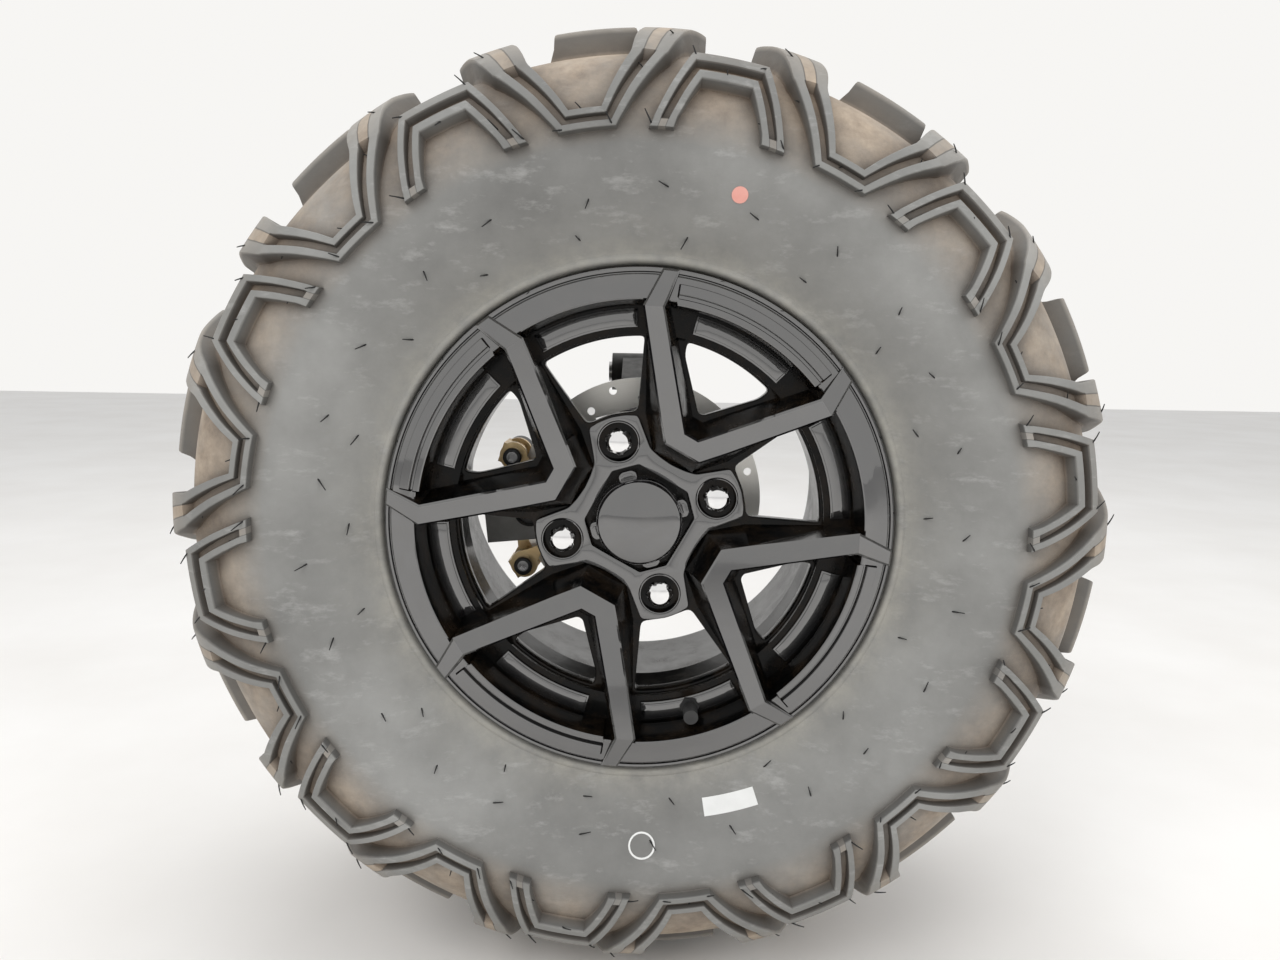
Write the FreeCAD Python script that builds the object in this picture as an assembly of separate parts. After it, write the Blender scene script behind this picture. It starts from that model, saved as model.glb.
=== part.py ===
import FreeCAD, Part
import math
import os

# Rear wheel end of a quad bike: tyre, alloy rim, hub, brake and knuckle.
# Millimetres. It is drawn about the wheel's centre, with the axle along Y, -Y outboard and +Z up.
# At the end all pieces move so that the origin is the centre of the knuckle's lower arm bore.

V = FreeCAD.Vector
PARTS = {}

# Tyre
TYRE_OD = 660.0
TYRE_WIDTH = 279.0
PITCHES = 10
PITCH_PHASE = 26.0
SIDEWALL_LUG = 6.5
TREAD_LUG = 21.0
ARM_END = 40.0
BLOCK_START = 70.0
BLOCK_END = 8.0
BLOCK_SHIFT = 2.0
WALL = 9.0
TREAD_WALL = 11.0
BEAD_W = 17.0

# Rim
BEAD_R = 152.4
FLANGE_H = 15.6
FLANGE_R = BEAD_R + FLANGE_H
BETWEEN_FLANGES = 203.2
FLANGE_T = 8.4
RIM_WALL = 5.0
DROP_R = 131.0
LEDGE_Y = -84.0
LEDGE_T = 7.0
DROP_END_Y = -38.0
DISH_T = 16.0
STAR_R = 43.0
LOBE_R = 17.5
STAR_RISE = 5.0
BACK_R = 64.0
MOUNT_Y = -55.0
PAD_FRONT_Y = -81.0
SPOKES = 4
SPOKE_PHASE = 60.8
APEX_Y = -106.0
KINK_Y = -119.0
BEVEL = 1.2
LIP_SLOT_IN = 2.7
LIP_SLOT_W = 2.6
LIP_SLOT_HALF = 20.5
LEDGE_PAD_RISE = 1.5
LEDGE_PAD_HALF = 14.5
LEDGE_PAD_W = 12.8

# Lug nuts, studs and their circle
LUG_PCD = 110.0
LUG_COUNT = 4
WELL_R = 13.5
SEAT_Y = -66.0
STUD_R = 5.0
STUD_HOLE_R = 6.5
NUT_AF = 17.0
NUT_LENGTH = 19.0

# Cap and valve
CAP_R = 28.0
CAP_BORE_R = 24.0
VALVE_R = 4.2
VALVE_ANGLE = 285.8
VALVE_IN = 15.4
VALVE_CIRCLE_R = BEAD_R - VALVE_IN

# Hub, axle and bearing
HUB_FLANGE_T = 12.0
SPIGOT = 6.0
NECK_R = 30.0
SPINDLE_R = 21.0
AXLE_R = 13.0
BEARING_R = 37.0
BEARING_W = 40.0
BEARING_Y = 31.0

# Brake
DISC_R = 93.0
DISC_T = 4.0
DISC_Y = 5.0
DISC_BAND = 22.0
DISC_PCD = 84.0
DISC_HOLES = 12
DISC_HOLE_R = 3.0
CALIPER_ANGLE = 185.5
EAR_R = DISC_R + 9.0
EAR_ANGLE = 24.3
EAR_GAP = 8.0
PLATE_Y = 18.0
PLATE_T = 5.0
BOLT_R = 4.0
PAD_T = 9.0
PAD_GAP = 0.4
FINGER_T = 10.0
HOUSING_T = 26.0
CALIPER_HALF = 22.0
PISTON_R = 15.0
PISTON_X = 84.0

# Knuckle arms
PIVOT_PAST_TYRE = 25.5
PIVOT_Y = TYRE_WIDTH / 2 + PIVOT_PAST_TYRE
LOWER_DROP = 98.0
UPPER_RISE = 92.0
LOWER_ARM = V(0, PIVOT_Y, -LOWER_DROP)
UPPER_ARM = V(0, PIVOT_Y, UPPER_RISE)
ARM_BORE_R = 6.1
ARM_SLEEVE_R = 9.0
ARM_LUG_R = 17.0
ARM_WIDTH = 62.0
ARM_T = 36.0

# Half-shaft
JOINT_R = 42.0
JOINT_LENGTH = 52.0
BOOT_LENGTH = 74.0
SHAFT_R = 12.0
SHAFT_END_Y = 372.0
SPLINE_R = 13.0
SPLINE_LENGTH = 42.0

# Clearances
SEAT = 0.2
RUN = 0.05

CENTRE = V(0, 0, 0)
AXLE = V(0, 1, 0)


def polar(r, degrees, y=0.0):
    a = math.radians(degrees)
    return V(r * math.cos(a), y, r * math.sin(a))


def turn(shape, degrees):
    """Turns a copy about the axle, counter-clockwise as seen from outboard."""
    copy = shape.copy()
    copy.rotate(CENTRE, V(0, -1, 0), degrees)
    return copy


def around(shape, count, phase=0.0):
    return [turn(shape, phase + 360.0 * k / count) for k in range(count)]


def face(points):
    return Part.Face(Part.makePolygon(list(points) + [points[0]]))


def revolve(profile, centre=CENTRE, axis=AXLE, degrees=360.0):
    """A closed profile of (y, r) points turned about the axle."""
    return face([V(r, y, 0) for y, r in profile]).revolve(centre, axis, degrees)


def prism(points, y0, y1):
    """A closed outline of (x, z) points pushed along the axle from y0 to y1."""
    return face([V(x, y0, z) for x, z in points]).extrude(V(0, y1 - y0, 0))


def rod(r, y0, y1, x=0.0, z=0.0):
    return Part.makeCylinder(r, y1 - y0, V(x, y0, z), AXLE)


def ring(outer, inner, y0, y1, x=0.0, z=0.0):
    return rod(outer, y0, y1, x, z).cut(rod(inner, y0 - 1, y1 + 1, x, z))


def bar(r, start, end):
    along = end - start
    return Part.makeCylinder(r, along.Length, start, along)


def mirror_y(shape):
    return shape.mirror(CENTRE, AXLE)


def both_sides(points):
    """Mirrors a half outline of (x, z) points about the X axis and closes it."""
    return points + [(x, -z) for x, z in reversed(points)]


def add(name, shape):
    PARTS[name] = shape


def carcass_outer():
    """Outside of the tyre's body, from the rim flange to the crown, as (distance from mid-plane, radius)."""
    half = TYRE_WIDTH / 2 - SIDEWALL_LUG
    crown = TYRE_OD / 2 - TREAD_LUG
    flange = BETWEEN_FLANGES / 2
    return [(flange + 1.0, FLANGE_R + SEAT), (half - 9, crown - 108), (half, crown - 76),
            (half - 6, crown - 42), (half - 26, crown - 14), (0.0, crown)]


def lug_outer():
    """Outside of the lugs over the same stretch."""
    half = TYRE_WIDTH / 2
    top = TYRE_OD / 2
    return [(half, top - 84), (half - 6, top - 52), (half - 23, top - 27), (half - 65, top - 8), (BLOCK_END, top)]


def closed(faces):
    """Sews flat faces to a solid."""
    shell = Part.makeShell(faces)
    shell.sewShape()
    return Part.makeSolid(shell.Shells[0])


def flats(profile):
    """A ring of flat facets, four to a tread pitch, each touching the circle of its radius at its middle."""
    count = 4 * PITCHES
    half = 180.0 / count
    corner = 1.0 / math.cos(math.radians(half))
    sections = [[polar(r * corner, half + k * 2 * half, y) for y, r in profile] for k in range(count)]
    faces = []
    for k in range(count):
        here, after = sections[k - 1], sections[k]
        for i in range(len(profile)):
            j = (i + 1) % len(profile)
            faces.append(face([here[i], here[j], after[j], after[i]]))
    return closed(faces)


def lug_prism(corners, start, end):
    """Half an outline of (radius, degrees) corners, mirrored and pushed along the axle."""
    points = [polar(r, a) for r, a in corners]
    return prism(both_sides([(p.x, p.z) for p in points]), start, end)


def tyre_body():
    outer = carcass_outer()
    bead = BETWEEN_FLANGES / 2 - SEAT
    heel = (bead - BEAD_W, BEAD_R + SEAT)
    inner = [heel, (outer[2][0] - WALL, outer[2][1]), (outer[4][0] - TREAD_WALL, outer[4][1] - TREAD_WALL)]
    half = [heel, (bead, BEAD_R + SEAT), (bead, FLANGE_R + SEAT)] + outer[:-1]
    profile = [(-y, r) for y, r in half] + [(y, r) for y, r in reversed(half)]
    profile += [(y, r) for y, r in inner[1:]] + [(-y, r) for y, r in reversed(inner[1:])]
    return flats(profile)


def lug_band(top, bottom):
    """The ring between two half outlines, outboard only, where the lugs stand."""
    return flats([(-y, r) for y, r in top] + [(-y, r) for y, r in reversed(bottom)])


def tyre():
    top = lug_outer()
    sunk = [(y - 3.0, r - 3.0) for y, r in carcass_outer()[2:-1]]
    band = lug_band(top, sunk + [(top[-1][0], TYRE_OD / 2 - TREAD_LUG - 4.0)])
    reach = -TYRE_WIDTH
    crown = TYRE_OD / 2
    past = crown + 10
    v_outline = [(crown - 86, 4.0), (crown - 30, 11.6), (past, 12.6), (past, 7.4), (crown - 30, 6.4),
                 (crown - 72, 2.2)]
    a_outline = [(crown - 43, 4.4), (crown - 83, 9.4), (crown - 77, 6.6), (crown - 58, 3.2)]
    v_lug = lug_prism(v_outline, reach, -ARM_END).common(band)
    a_lug = lug_prism(a_outline, reach, 0).common(band)
    block = lug_prism([(crown - 40, 6.0), (past, 4.4)], -BLOCK_START, 0).common(band)
    side = []
    for lug in (v_lug, turn(a_lug, 180.0 / PITCHES), turn(block, -BLOCK_SHIFT)):
        side += around(lug, PITCHES, PITCH_PHASE)
    other = [turn(mirror_y(s), 180.0 / PITCHES) for s in side]
    body = turn(tyre_body(), PITCH_PHASE)
    return body.multiFuse(side + other)


def rim_barrel():
    """Flanges, bead seats and drop centre, turned in one piece."""
    half = BETWEEN_FLANGES / 2
    lip = half + FLANGE_T
    seat_in = BEAD_R - RIM_WALL
    drop_in = DROP_R - RIM_WALL
    profile = [(-lip, FLANGE_R), (-half, FLANGE_R), (-half, BEAD_R), (LEDGE_Y + LEDGE_T, BEAD_R),
               (LEDGE_Y + LEDGE_T, DROP_R), (DROP_END_Y, DROP_R), (DROP_END_Y + 8, BEAD_R),
               (half, BEAD_R), (half, FLANGE_R), (half + 5, FLANGE_R),
               (half + 5, seat_in), (DROP_END_Y + 10, seat_in), (DROP_END_Y + 2, drop_in),
               (LEDGE_Y, drop_in), (LEDGE_Y, seat_in - 3), (-lip - 4, seat_in + 2)]
    return revolve(profile)


def patch(corners):
    """A flat face, or a fan of triangles where the corners don't lie on one plane."""
    normal = (corners[1] - corners[0]).cross(corners[2] - corners[0]).normalize()
    if all(abs((c - corners[0]).dot(normal)) < 1e-7 for c in corners):
        return [face(corners)]
    return [face([corners[0], corners[i], corners[i + 1]]) for i in range(1, len(corners) - 1)]


def grow(points, distance):
    """Moves each edge of a counter-clockwise (x, z) outline outwards by a distance."""
    grown = []
    count = len(points)
    for i in range(count):
        before, here, after = points[i - 1], points[i], points[(i + 1) % count]
        normals = []
        for start, end in ((before, here), (here, after)):
            length = math.hypot(end[0] - start[0], end[1] - start[1])
            normals.append(((end[1] - start[1]) / length, (start[0] - end[0]) / length))
        (ax, az), (bx, bz) = normals
        share = distance / (1 + ax * bx + az * bz)
        grown.append((here[0] + (ax + bx) * share, here[1] + (az + bz) * share))
    return grown


def stack(levels, caps):
    """A solid with flat facets between outlines of as many corners; caps name the corners of each end face."""
    faces = []
    for outline in (levels[0], levels[-1]):
        for corners in caps:
            faces += patch([outline[i] for i in corners])
    count = len(levels[0])
    for lower, upper in zip(levels, levels[1:]):
        for i in range(count):
            j = (i + 1) % count
            quad = [lower[i], lower[j], upper[j], upper[i]]
            if quad[0].distanceToPoint(quad[2]) > quad[1].distanceToPoint(quad[3]):
                quad = quad[1:] + quad[:1]
            faces += [face([quad[0], quad[1], quad[2]]), face([quad[0], quad[2], quad[3]])]
    return closed(faces)


def v_spoke():
    """One V spoke about +X: a raised V face with bevelled edges, facets on to the lip, and a wider foot."""
    lip_y = -BETWEEN_FLANGES / 2 - FLANGE_T
    slope = (KINK_Y - APEX_Y) / (125.7 - 56.7)
    top = [(56.7, -12.6), (70.5, -24.3), (125.7, -68.6), (151.0, -69.2), (154.4, -61.5), (130.7, -58.6),
           (67.5, -5.3)]
    foot = [(43.0, -15.0), (64.0, -33.3), (127.0, -69.0), (135.8, -62.2), (138.8, -55.2), (134.0, -52.0),
            (80.0, -4.0)]
    top = top + [(x, -z) for x, z in reversed(top)]
    foot = foot + [(x, -z) for x, z in reversed(foot)]
    tips = (3, 4, 9, 10)

    def top_y(i):
        return lip_y - 1 if i in tips else APEX_Y + slope * (top[i][0] - 56.7)

    upper = [V(x, top_y(i), z) for i, (x, z) in enumerate(top)]
    edge = [V(x, top_y(i) + BEVEL, z) for i, (x, z) in enumerate(grow(top, BEVEL))]
    lower = [V(x, lip_y + 4 if i in tips else LEDGE_Y + 6, z) for i, (x, z) in enumerate(foot)]
    caps = [(0, 1, 2, 5, 6, 7, 8, 11, 12, 13), (2, 3, 4, 5), (8, 9, 10, 11)]
    return stack([lower, edge, upper], caps)


def window(points, y0=-130.0, y1=-50.0):
    return prism(both_sides(points), y0, y1)


def star(y0, y1):
    """The hub's pad: a lobe round each nut's well, with scallops between them."""
    lobe = rod(LOBE_R, y0, y1, LUG_PCD / 2)
    web = Part.makeBox(LUG_PCD / 2, y1 - y0, 2 * LOBE_R - 4, V(0, y0, 2 - LOBE_R))
    return rod(STAR_R, y0, y1).multiFuse(around(lobe.fuse(web), LUG_COUNT, SPOKE_PHASE + 45))


def ledge_pads():
    """Raised pads on the ledge: one in each V and one between each two."""
    inner = VALVE_CIRCLE_R - LEDGE_PAD_W / 2
    outer = VALVE_CIRCLE_R + LEDGE_PAD_W / 2
    front = LEDGE_Y - LEDGE_PAD_RISE
    pad = revolve([(front, inner), (front, outer), (LEDGE_Y + 2, outer), (LEDGE_Y + 2, inner)],
                  degrees=2 * LEDGE_PAD_HALF)
    return around(pad, 2 * SPOKES, SPOKE_PHASE + LEDGE_PAD_HALF)


def lip_slots():
    """A narrow groove in the lip's face inside each V."""
    outer = BEAD_R - LIP_SLOT_IN + LIP_SLOT_W
    front = -BETWEEN_FLANGES / 2 - FLANGE_T
    slot = revolve([(front - 10, BEAD_R - LIP_SLOT_IN), (front - 10, outer), (front + 1, outer),
                    (front + 1, BEAD_R - LIP_SLOT_IN)], degrees=2 * LIP_SLOT_HALF)
    return around(slot, SPOKES, SPOKE_PHASE + LIP_SLOT_HALF)


def rim():
    """Dish with its windows, spokes, star pad and barrel, then the wells, cap bore and valve hole."""
    drop_in = DROP_R - RIM_WALL
    back = LEDGE_Y + DISH_T
    lobe_end = LUG_PCD / 2 + LOBE_R
    dish = revolve([(PAD_FRONT_Y + STAR_RISE, CAP_BORE_R - 4), (LEDGE_Y, drop_in - 6), (LEDGE_Y, drop_in + 2),
                    (back, drop_in + 2), (back, BACK_R), (MOUNT_Y, BACK_R), (MOUNT_Y, CAP_BORE_R - 4)])
    outline = [polar(lobe_end + 1.5, 15.0), polar(drop_in + 8, 17.6)]
    wide = window([(p.x, p.z) for p in outline])
    inside = window([(81.0, 3.2), (114.0, 32.3), (136.0, 28.0)])
    wheel = dish.cut(around(wide, SPOKES, SPOKE_PHASE + 45) + around(inside, SPOKES, SPOKE_PHASE))
    barrel = rim_barrel().cut(lip_slots())
    pieces = around(v_spoke(), SPOKES, SPOKE_PHASE) + [barrel, star(PAD_FRONT_Y, back + 1)] + ledge_pads()
    wheel = wheel.multiFuse(pieces)
    well = rod(WELL_R, -130, SEAT_Y, LUG_PCD / 2).fuse(rod(STUD_HOLE_R, SEAT_Y - 4, MOUNT_Y + 5, LUG_PCD / 2))
    cuts = around(well, LUG_COUNT, SPOKE_PHASE + 45)
    cuts.append(rod(CAP_BORE_R, -130, MOUNT_Y + 5))
    cuts.append(rod(NECK_R + SEAT, MOUNT_Y - SPIGOT - SEAT, MOUNT_Y + 5))
    valve = polar(VALVE_CIRCLE_R, VALVE_ANGLE)
    cuts.append(rod(VALVE_R + SEAT, -100, -60, valve.x, valve.z))
    return wheel.cut(cuts)


def hexagon(across_flats, y0, y1, x=0.0, z=0.0):
    corner = across_flats / math.sqrt(3.0)
    points = [polar(corner, 60.0 * k) for k in range(6)]
    return prism([(p.x + x, p.z + z) for p in points], y0, y1)


def lug_set():
    """Studs pressed in the hub's flange, and the closed nuts that seat in the rim's wells."""
    for k in range(LUG_COUNT):
        at = polar(LUG_PCD / 2, SPOKE_PHASE + 45 + k * 360.0 / LUG_COUNT)
        x, z = at.x, at.z
        thread = rod(STUD_R, SEAT_Y - 12, MOUNT_Y + HUB_FLANGE_T, x, z)
        head = rod(STUD_R + 4, MOUNT_Y + HUB_FLANGE_T, MOUNT_Y + HUB_FLANGE_T + 4, x, z)
        add(f"wheel_stud_{k + 1}", thread.fuse(head))
        end = SEAT_Y - NUT_LENGTH
        body = hexagon(NUT_AF, end + 3, SEAT_Y - 3, x, z)
        body = body.fuse(rod(NUT_AF / 2 + 2.5, SEAT_Y - 3, SEAT_Y, x, z))
        dome = Part.makeCone(NUT_AF / 2, NUT_AF / 2 - 3, 3, V(x, end + 3, z), V(0, -1, 0))
        add(f"lug_nut_{k + 1}", body.fuse(dome).cut(rod(STUD_R + RUN, SEAT_Y - 13, SEAT_Y + 1, x, z)))


def centre_cap():
    front = PAD_FRONT_Y
    skirt = CAP_BORE_R - SEAT
    dome = revolve([(front - 9, 0), (front - 9, 8), (front - 7, 18), (front - 2, CAP_R), (front - SEAT, CAP_R),
                    (front - SEAT, skirt), (front + 10, skirt), (front + 10, skirt - 3),
                    (front - 3, skirt - 3), (front - 3, 0)])
    tab = Part.makeBox(8, 3.5, 11, V(CAP_R - 3, front - 3.5 - SEAT, -5.5))
    return dome.multiFuse(around(tab, LUG_COUNT, SPOKE_PHASE + 45))


def valve_stem():
    at = polar(VALVE_CIRCLE_R, VALVE_ANGLE)
    base = LEDGE_Y - LEDGE_PAD_RISE
    back = LEDGE_Y + LEDGE_T
    stem = rod(VALVE_R, base - 14, back + 2, at.x, at.z)
    cap = rod(VALVE_R + 0.8, base - 22, base - 9, at.x, at.z)
    nut = hexagon(12.0, base - 3, base - SEAT, at.x, at.z)
    foot = rod(VALVE_R + 1.5, back + SEAT, back + 4, at.x, at.z)
    return stem.multiFuse([cap, nut, foot])


def wheel_hub():
    """Four-lobed flange, a neck, the disc's flange and the spindle that turns in the bearing."""
    back = MOUNT_Y + HUB_FLANGE_T
    plate = rod(44, MOUNT_Y, back)
    lobe = rod(15, MOUNT_Y, back, LUG_PCD / 2)
    web = Part.makeBox(LUG_PCD / 2, HUB_FLANGE_T, 26, V(0, MOUNT_Y, -13))
    lobes = around(lobe.fuse(web), LUG_COUNT, SPOKE_PHASE + 45)
    neck = rod(NECK_R, MOUNT_Y - SPIGOT, DISC_Y + 12)
    seat = rod(DISC_PCD / 2 + 9, DISC_Y - 8, DISC_Y)
    spindle = rod(SPINDLE_R, DISC_Y, BEARING_Y + BEARING_W)
    hub = plate.multiFuse(lobes + [neck, seat, spindle])
    cuts = [rod(AXLE_R + SEAT, -200, 200), rod(CAP_BORE_R - 1, MOUNT_Y - 10, MOUNT_Y + 12)]
    cuts += around(rod(STUD_R, MOUNT_Y - 5, back + 5, LUG_PCD / 2), LUG_COUNT, SPOKE_PHASE + 45)
    cuts += around(rod(4.0, DISC_Y - 20, DISC_Y + 5, DISC_PCD / 2), LUG_COUNT, SPOKE_PHASE)
    return hub.cut(Part.makeCompound(cuts))


def brake_disc():
    disc = ring(DISC_R, NECK_R + SEAT, DISC_Y, DISC_Y + DISC_T)
    gap = [polar(DISC_R - DISC_BAND, 14), polar(DISC_R - DISC_BAND, -14), polar(NECK_R + 10, -18),
           polar(NECK_R + 10, 18)]
    cuts = around(prism([(p.x, p.z) for p in gap], DISC_Y - 5, DISC_Y + 9), LUG_COUNT, SPOKE_PHASE + 45)
    cuts += around(rod(4.2, DISC_Y - 5, DISC_Y + 9, DISC_PCD / 2), LUG_COUNT, SPOKE_PHASE)
    for k in range(DISC_HOLES):
        for r, step in ((DISC_R * 0.83, 0.0), (DISC_R * 0.92, 0.5)):
            at = polar(r, (k + step) * 360.0 / DISC_HOLES)
            cuts.append(rod(DISC_HOLE_R, DISC_Y - 5, DISC_Y + 9, at.x, at.z))
    return disc.cut(Part.makeCompound(cuts))


def disc_bolts():
    back = DISC_Y + DISC_T
    bolt = rod(3.9, DISC_Y - 6, back + 1, DISC_PCD / 2).fuse(rod(6.5, back, back + 5, DISC_PCD / 2))
    return Part.makeCompound(around(bolt, LUG_COUNT, SPOKE_PHASE))


def axle_nut():
    end = MOUNT_Y + 12
    nut = hexagon(32.0, end - 14, end - SEAT).fuse(rod(19, end - 4, end - SEAT))
    slot = Part.makeBox(60, 6, 5, V(-30, end - 15, -2.5))
    slots = [turn(slot, 60.0 * k) for k in range(3)]
    return nut.cut(Part.makeCompound([rod(AXLE_R + RUN, -200, 200)] + slots))


def half_shaft():
    """Stub axle, joint housing, bar and the spline that enters the inner joint."""
    mouth = BEARING_Y + BEARING_W + SEAT
    stub = rod(AXLE_R, MOUNT_Y - SPIGOT, mouth + 10)
    bell = revolve([(mouth, 0), (mouth, 24), (mouth + 12, JOINT_R), (mouth + JOINT_LENGTH, JOINT_R),
                    (mouth + JOINT_LENGTH, JOINT_R - 5), (mouth + 20, JOINT_R - 5), (mouth + 20, 0)])
    add("joint_housing", stub.fuse(bell))
    start = mouth + 22
    shaft = rod(SHAFT_R, start, SHAFT_END_Y - SPLINE_LENGTH)
    ball = rod(JOINT_R - 5 - SEAT, start, start + 16)
    end = rod(SPLINE_R, SHAFT_END_Y - SPLINE_LENGTH, SHAFT_END_Y)
    add("half_shaft", shaft.multiFuse([ball, end]))
    foot = mouth + JOINT_LENGTH - 14
    outside = [(foot, JOINT_R + SEAT), (foot, JOINT_R + 3), (foot + 16, JOINT_R + 3)]
    inside = [(foot + 14 + SEAT, JOINT_R + SEAT)]
    folds = 5
    pitch = BOOT_LENGTH / folds
    for k in range(folds):
        y = foot + 18 + k * pitch
        r = JOINT_R + 1 - k * 5.0
        outside += [(y + pitch * 0.3, r), (y + pitch, r - 9)]
    tip = foot + 18 + BOOT_LENGTH + 12
    outside += [(tip, SHAFT_R + 3), (tip, SHAFT_R + SEAT)]
    inside += [(foot + 18 + BOOT_LENGTH - 4, SHAFT_R + SEAT)]
    add("cv_boot", revolve(outside + inside[::-1]))
    big = ring(JOINT_R + 4.2, JOINT_R + 3.2, foot + 3, foot + 11)
    small = ring(SHAFT_R + 4.2, SHAFT_R + 3.2, tip - 9, tip - 3)
    add("boot_clamps", Part.makeCompound([big, small]))


def knuckle():
    """Bearing housing with two arms that reach inboard past the tyre, and the ears for the brake."""
    y0 = BEARING_Y - 1
    y1 = BEARING_Y + BEARING_W - 2
    housing = BEARING_R + 9
    clear = JOINT_R + 14
    pieces = []
    for pivot in (LOWER_ARM, UPPER_ARM):
        width = ARM_WIDTH - 6
        lug = bar(ARM_LUG_R, V(-width / 2, pivot.y, pivot.z), V(width / 2, pivot.y, pivot.z))
        up = 1 if pivot.z > 0 else -1
        top = abs(pivot.z)
        line = [(y0 + 4, 30), (y0 + 4, housing + 20), (pivot.y - 12, top + 13), (pivot.y, top - 15),
                (y1 + 15, clear), (y1, housing - 4), (y1, 30)]
        arm = face([V(-ARM_T / 2, y, up * z) for y, z in line]).extrude(V(ARM_T, 0, 0))
        pieces += [lug, arm]
    inner = BEARING_R + 1
    for sign in (1, -1):
        ear = rod(11, PLATE_Y + PLATE_T, PLATE_Y + PLATE_T + 14, EAR_R, 0)
        rib = Part.makeBox(EAR_R - inner, 14, 16, V(inner, PLATE_Y + PLATE_T, -8))
        pieces.append(turn(ear.fuse(rib), CALIPER_ANGLE + sign * EAR_ANGLE))
    body = rod(housing, y0, y1).multiFuse(pieces)
    cuts = [rod(BEARING_R, y0 + 3, y1 + 1), rod(BEARING_R - 4, 0, y1)]
    for pivot in (LOWER_ARM, UPPER_ARM):
        cuts.append(bar(ARM_SLEEVE_R + RUN, V(-ARM_WIDTH, pivot.y, pivot.z), V(ARM_WIDTH, pivot.y, pivot.z)))
    for sign in (1, -1):
        cuts.append(turn(rod(BOLT_R + RUN, 0, 80, EAR_R, 0), CALIPER_ANGLE + sign * EAR_ANGLE))
    return body.cut(Part.makeCompound(cuts))


def arm_sleeves():
    for name, pivot in (("lower_arm_sleeve", LOWER_ARM), ("upper_arm_sleeve", UPPER_ARM)):
        start = V(-ARM_WIDTH / 2, pivot.y, pivot.z)
        end = V(ARM_WIDTH / 2, pivot.y, pivot.z)
        step = V(2, 0, 0)
        add(name, bar(ARM_SLEEVE_R, start, end).cut(bar(ARM_BORE_R, start - step, end + step)))


def bearing():
    return ring(BEARING_R - RUN, SPINDLE_R + RUN, BEARING_Y + 2 + SEAT, BEARING_Y + BEARING_W - 2)


def caliper_bracket():
    """A plate behind the disc, and two bridges that pass its edge and end in ears in front of it."""
    a = polar(EAR_R + 8, EAR_ANGLE)
    c = polar(EAR_R - 14, EAR_ANGLE)
    outline = both_sides([(a.x, a.z), (c.x - 2, c.z + 9), (58.0, 26.0)])
    pieces = [prism(outline, PLATE_Y, PLATE_Y + PLATE_T)]
    front = DISC_Y - EAR_GAP - PLATE_T
    for sign in (1, -1):
        bridge = Part.makeBox(14, PLATE_Y + PLATE_T - front, 15, V(EAR_R - 4, front, -7.5))
        ear = rod(10.5, front, front + PLATE_T, EAR_R)
        tip = prism([(EAR_R, 10.4), (EAR_R - 22, -sign * 6), (EAR_R, -10.4)], front, front + PLATE_T)
        pieces += [turn(x, sign * EAR_ANGLE) for x in (bridge, ear, tip, rod(11, PLATE_Y, PLATE_Y + PLATE_T, EAR_R))]
    body = pieces[0].multiFuse(pieces[1:])
    window = PISTON_X - PISTON_R - 4
    cuts = [Part.makeBox(60, 20, 2 * CALIPER_HALF + 6, V(window, PLATE_Y - 5, -CALIPER_HALF - 3))]
    cuts += [turn(rod(BOLT_R + RUN, -60, 60, EAR_R), sign * EAR_ANGLE) for sign in (1, -1)]
    return body.cut(Part.makeCompound(cuts))


def bracket_bolts():
    front = DISC_Y - EAR_GAP - PLATE_T
    bolt = rod(BOLT_R, front - 2, PLATE_Y + PLATE_T + 13, EAR_R).fuse(rod(6.5, front - 8, front, EAR_R))
    bolt = bolt.cut(hexagon(6.0, front - 10, front - 4, EAR_R))
    return Part.makeCompound([turn(bolt, sign * EAR_ANGLE) for sign in (1, -1)])


def caliper_body():
    """A finger in front of the disc, a bridge over its edge and the piston's housing behind it."""
    front = DISC_Y - PAD_GAP - PAD_T - FINGER_T
    rear = DISC_Y + DISC_T + PAD_GAP + PAD_T + HOUSING_T
    body = Part.makeBox(44, rear - front, 2 * CALIPER_HALF, V(74, front, -CALIPER_HALF))
    slot = Part.makeBox(40, DISC_T + 2 * (PAD_T + PAD_GAP), 80, V(59, DISC_Y - PAD_GAP - PAD_T, -40))
    bore = rod(PISTON_R + RUN, slot.BoundBox.YMax - 1, rear - 6, PISTON_X)
    notch = rod(12, front - 1, front + FINGER_T + 1, PISTON_X).fuse(
        Part.makeBox(20, FINGER_T + 2, 16, V(PISTON_X - 20, front - 1, -8)))
    return body.cut(Part.makeCompound([slot, bore, notch]))


def caliper():
    """The brake, drawn on +X and turned to its angle."""
    pads = DISC_Y - PAD_GAP - PAD_T
    inner = DISC_Y + DISC_T + PAD_GAP
    pieces = {"caliper_bracket": caliper_bracket(), "bracket_bolts": bracket_bolts(),
              "caliper_body": caliper_body(),
              "caliper_piston": rod(PISTON_R, inner + PAD_T, inner + PAD_T + 16, PISTON_X),
              "brake_pad_outer": Part.makeBox(22, PAD_T, 40, V(72, pads, -20)),
              "brake_pad_inner": Part.makeBox(22, PAD_T, 40, V(72, inner, -20))}
    for name, shape in pieces.items():
        add(name, turn(shape, CALIPER_ANGLE))


def main():
    add("tyre", tyre())
    add("alloy_rim", rim())
    add("centre_cap", centre_cap())
    add("valve_stem", valve_stem())
    lug_set()
    add("wheel_hub", wheel_hub())
    add("brake_disc", brake_disc())
    add("disc_bolts", disc_bolts())
    add("axle_nut", axle_nut())
    half_shaft()
    add("knuckle", knuckle())
    add("wheel_bearing", bearing())
    arm_sleeves()
    caliper()
    os.makedirs("parts", exist_ok=True)
    for name, shape in PARTS.items():
        shape.translate(-LOWER_ARM)
        shape.exportStep(f"parts/{name}.step")


main()
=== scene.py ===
import math
import random
import bpy
import bmesh
from mathutils import Matrix, Vector
from mathutils.geometry import delaunay_2d_cdt

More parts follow.
